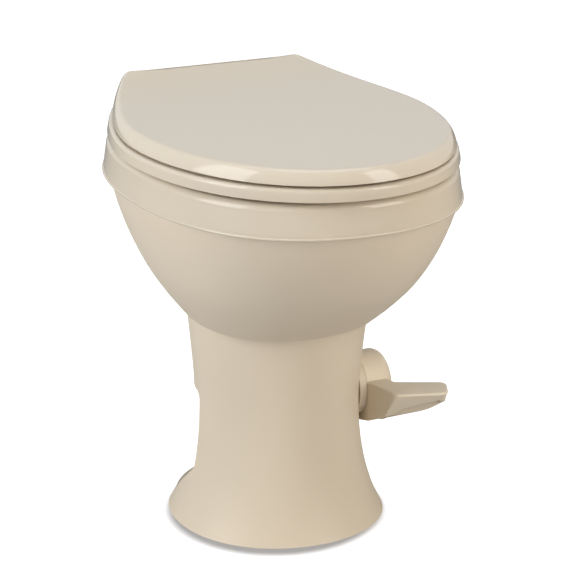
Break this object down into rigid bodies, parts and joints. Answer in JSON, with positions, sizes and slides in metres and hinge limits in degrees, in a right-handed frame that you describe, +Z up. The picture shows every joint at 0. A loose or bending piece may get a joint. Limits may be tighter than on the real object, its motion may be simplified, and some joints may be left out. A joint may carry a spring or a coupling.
{
  "type": "rv toilet",
  "caption": "Pedal-flush gravity toilet for a travel vehicle: waisted pedestal, deep round bowl, hinged seat and lid, ball valve and water valve worked by one side pedal.",
  "frame": {"origin": "on the floor, at the centre of the waste outlet", "axes": "+Z up, -Y towards the front of the bowl, +X towards the pedal"},
  "size_m": [0.362, 0.486, 0.4801],
  "materials": {
    "bone_gloss": "gloss",
    "bone_satin": "satin",
    "bone_pedal": "satin",
    "inner_plastic": "matte",
    "ball_plastic": "gloss",
    "bush_plastic": "matte",
    "soft_rubber": "matte",
    "bumper_rubber": "matte",
    "steel": "brushed",
    "brass": "satin",
    "hose": "satin"
  },
  "bodies": {
    "stand": {"pedestal": "bone_satin", "floor_seal": "soft_rubber", "ball_housing": "inner_plastic", "foot_screws": "steel", "bush_left": "bush_plastic", "bush_right": "bush_plastic", "bowl_seal": "soft_rubber", "bowl": "bone_satin", "rim_deck": "bone_gloss", "hinge_post_left": "bone_gloss", "hinge_post_right": "bone_gloss", "hinge_pin_left": "steel", "hinge_pin_right": "steel", "hinge_bolts": "bone_gloss", "wing_nuts": "bone_gloss", "clamp_front": "steel", "clamp_rear": "steel", "clamp_screws": "steel", "clamp_nuts": "steel", "valve_body": "inner_plastic", "valve_screws": "steel", "spring_cartridge": "inner_plastic", "cartridge_screws": "steel", "return_spring": "steel", "rinse_tube": "hose", "tube_clamps": "steel", "vacuum_breaker": "inner_plastic", "spray_nozzle": "bush_plastic"},
    "seat": {"seat_ring": "bone_gloss", "seat_bumpers": "bumper_rubber"},
    "lid": {"lid": "bone_gloss", "lid_bumpers": "bumper_rubber"},
    "pedal": {"pedal": "bone_pedal", "pedal_screw": "bone_pedal", "drive_shaft": "steel", "flush_ball": "ball_plastic", "ball_pivot": "steel", "valve_cam": "bush_plastic"},
    "plunger": {"valve_plunger": "brass"}
  },
  "joints": [
    {"name": "seat_hinge", "type": "hinge", "parent": "stand", "child": "seat", "pos_m": [0, 0.222, 0.449], "axis": [-1, 0, 0], "range_deg": [0, 95]},
    {"name": "lid_hinge", "type": "hinge", "parent": "seat", "child": "lid", "pos_m": [0, 0.222, 0.449], "axis": [-1, 0, 0], "range_deg": [0, 95]},
    {"name": "pedal_pivot", "type": "hinge", "parent": "stand", "child": "pedal", "pos_m": [0, 0, 0.137], "axis": [1, 0, 0], "range_deg": [0, 70], "stiffness_Nm_per_rad": 2.2, "springref_deg": -40.11},
    {"name": "plunger_slide", "type": "slide", "parent": "stand", "child": "plunger", "axis": [0, 1, 0], "range_m": [0, 0.006]}
  ],
  "couplings": [
    {"joint": "plunger_slide", "follows": "pedal_pivot", "m_per_rad": 0.0049111}
  ]
}
